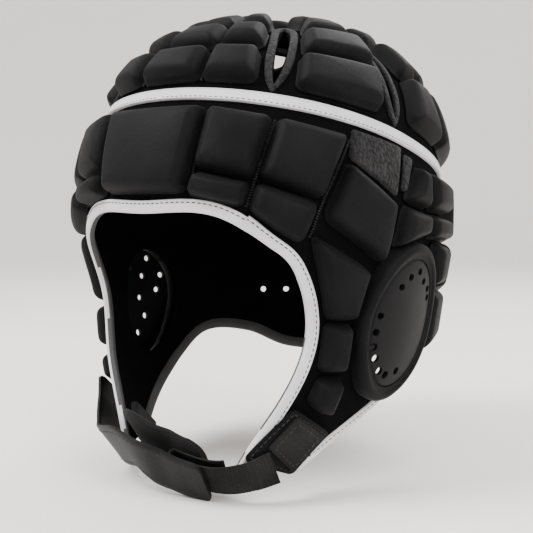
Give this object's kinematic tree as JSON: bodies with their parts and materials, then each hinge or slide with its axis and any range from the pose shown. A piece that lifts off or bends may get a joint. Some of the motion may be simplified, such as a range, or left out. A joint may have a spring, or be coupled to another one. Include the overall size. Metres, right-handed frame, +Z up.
{
  "type": "rugby scrum cap",
  "caption": "Soft padded head guard: foam blocks sewn on a fabric shell with ear covers, crown slots, white edge binding and a closed chin strap.",
  "frame": {"origin": "highest point of the lining inside the crown, where the cap rests on the top of a head", "axes": "+Z up as worn, -Y the way that the wearer faces, +X to the wearer's left"},
  "size_m": [0.203, 0.2302, 0.2515],
  "materials": {
    "pad_cloth": "matt knitted cloth over foam",
    "lining": "matt black lining cloth",
    "white_tape": "matt light binding tape",
    "rough_fabric": "rough looped cloth",
    "leather": "grained synthetic leather",
    "ear_cover": "smooth matt coated cloth",
    "webbing": "ribbed elastic webbing"
  },
  "bodies": {
    "root": {"anchor_pocket": "webbing", "behind_ear_pad_left": "pad_cloth", "behind_ear_pad_right": "pad_cloth", "brow_pad_left": "pad_cloth", "brow_pad_right": "pad_cloth", "cheek_pad_left": "pad_cloth", "cheek_pad_right": "pad_cloth", "closure_flap": "leather", "closure_tab": "pad_cloth", "crown_band": "white_tape", "crown_brow_pad_left": "pad_cloth", "crown_brow_pad_right": "pad_cloth", "crown_flank_pad_left": "pad_cloth", "crown_flank_pad_right": "pad_cloth", "crown_front_pad": "pad_cloth", "crown_nape_side_pad_left": "pad_cloth", "crown_nape_side_pad_right": "pad_cloth", "crown_rear_pad": "pad_cloth", "crown_side_pad_left": "pad_cloth", "crown_side_pad_right": "pad_cloth", "crown_temple_pad_left": "pad_cloth", "crown_temple_pad_right": "pad_cloth", "crown_top_pad": "pad_cloth", "ear_cover_left": "ear_cover", "ear_cover_right": "ear_cover", "ear_roll_left": "pad_cloth", "ear_roll_right": "pad_cloth", "elastic_webbing": "webbing", "face_binding": "white_tape", "flank_pad_left": "pad_cloth", "flank_pad_right": "pad_cloth", "forehead_pad": "pad_cloth", "kite_pad_left": "pad_cloth", "kite_pad_right": "pad_cloth", "lining_shell": "lining", "nape_pad": "pad_cloth", "nape_side_pad_left": "pad_cloth", "nape_side_pad_right": "pad_cloth", "neck_binding": "white_tape", "side_inset_left": "rough_fabric", "side_inset_right": "rough_fabric", "side_pad_left": "pad_cloth", "side_pad_right": "pad_cloth", "slot_edging_front_left": "rough_fabric", "slot_edging_front_right": "rough_fabric", "slot_edging_rear_left": "rough_fabric", "slot_edging_rear_right": "rough_fabric", "slot_edging_side_left": "rough_fabric", "slot_edging_side_right": "rough_fabric", "strap_anchor": "pad_cloth", "temple_inset_left": "rough_fabric", "temple_inset_right": "rough_fabric", "temple_pad_left": "pad_cloth", "temple_pad_right": "pad_cloth"}
  },
  "joints": []
}
